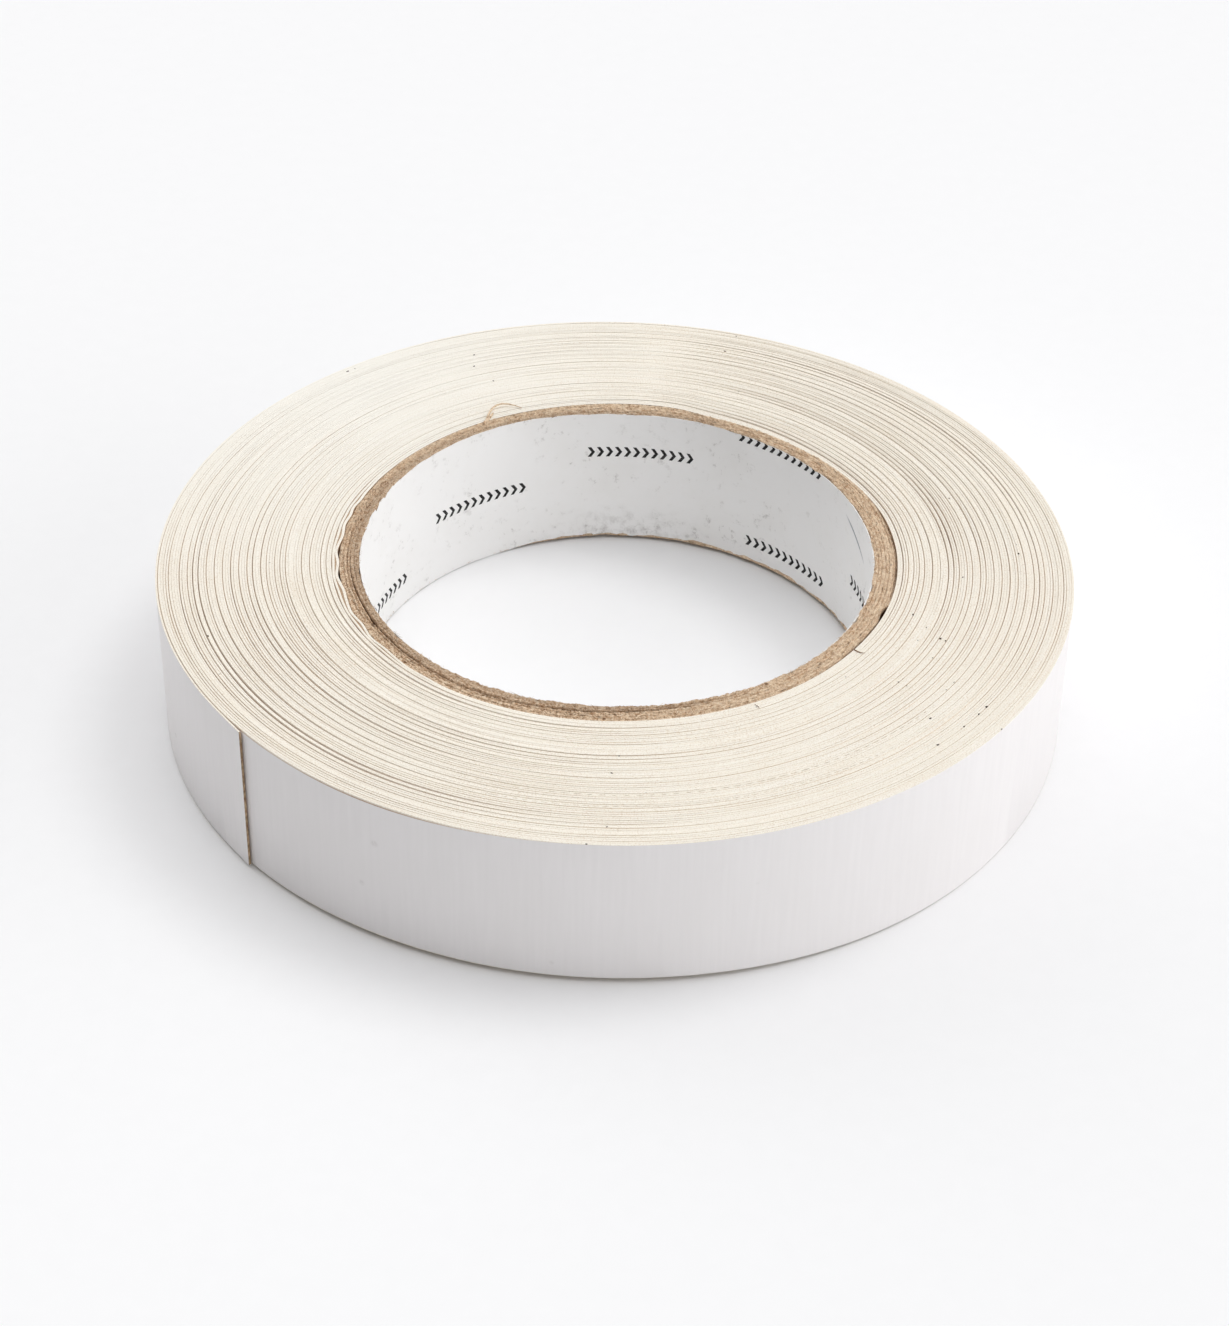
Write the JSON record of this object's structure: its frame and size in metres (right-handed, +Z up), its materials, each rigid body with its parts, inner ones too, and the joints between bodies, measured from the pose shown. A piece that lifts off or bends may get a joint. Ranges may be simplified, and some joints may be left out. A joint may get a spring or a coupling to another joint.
{
  "type": "masking tape roll",
  "caption": "Roll of pale paper adhesive tape wound on a brown board core with a printed paper liner, and a free end that peels off the roll.",
  "frame": {"origin": "on the roll's axis, in the plane of the side face that it lies on", "axes": "+Z up along the bore's axis; the strip's cut end is at 221.3 degrees round from +X towards +Y"},
  "size_m": [0.1341, 0.1338, 0.024],
  "materials": {
    "liner_paper": "satin",
    "core_board": "matte",
    "adhesive": "matte",
    "backing_paper": "satin"
  },
  "bodies": {
    "roll": {"core_liner": "liner_paper", "core_ply_1": "core_board", "core_ply_2": "core_board", "core_ply_3": "core_board", "core_ply_4": "core_board", "core_ply_5": "core_board", "core_ply_6": "core_board", "tape_adhesive": "adhesive", "tape_backing": "backing_paper"},
    "tail": {"tail_adhesive": "adhesive", "tail_backing": "backing_paper"}
  },
  "joints": [
    {"name": "tail_peel", "type": "hinge", "parent": "roll", "child": "tail", "pos_m": [-0.06342, -0.02229, 0], "axis": [0, 0, -1], "range_deg": [0, 90]}
  ]
}
